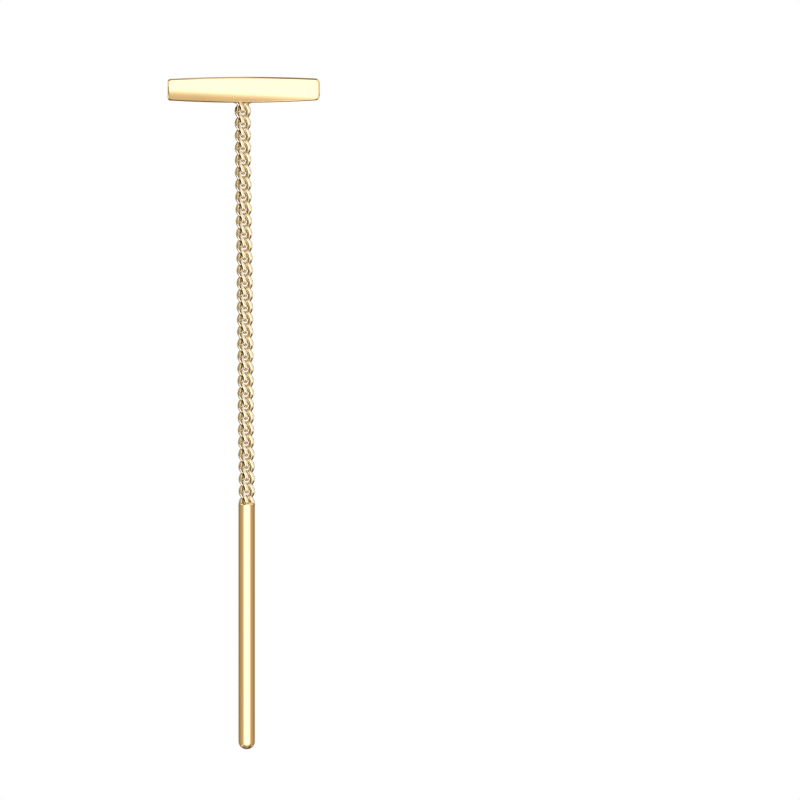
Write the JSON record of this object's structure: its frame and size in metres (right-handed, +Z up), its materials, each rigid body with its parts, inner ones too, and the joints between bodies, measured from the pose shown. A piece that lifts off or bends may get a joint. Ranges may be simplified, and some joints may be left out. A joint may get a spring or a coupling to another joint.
{
  "type": "chain threader earring",
  "caption": "Threader earring with a slim bowed bar, a fine twisted curb chain and a straight round rod that is pulled through a pierced ear.",
  "frame": {"origin": "the middle of the chain where it leaves the lower edge of the bar, which is where the earring sits in the pierced ear", "axes": "+Z up, along the hanging chain towards the bar; +X along the bar, to the right as seen from the front; -Y is the polished front of the bar"},
  "size_m": [0.0091, 0.001, 0.0404],
  "materials": {
    "polished_gold": "high polish, pale yellow gold",
    "chain_gold": "polished round gold wire, pale yellow gold"
  },
  "bodies": {
    "bar_and_chain": {"bar": "polished_gold", "chain": "chain_gold"},
    "threader": {"rod": "polished_gold"}
  },
  "joints": [
    {"name": "rod_swing", "type": "hinge", "parent": "bar_and_chain", "child": "threader", "pos_m": [0.00024, 0, -0.02329], "axis": [0, 1, 0], "range_deg": [-18, 18]}
  ]
}
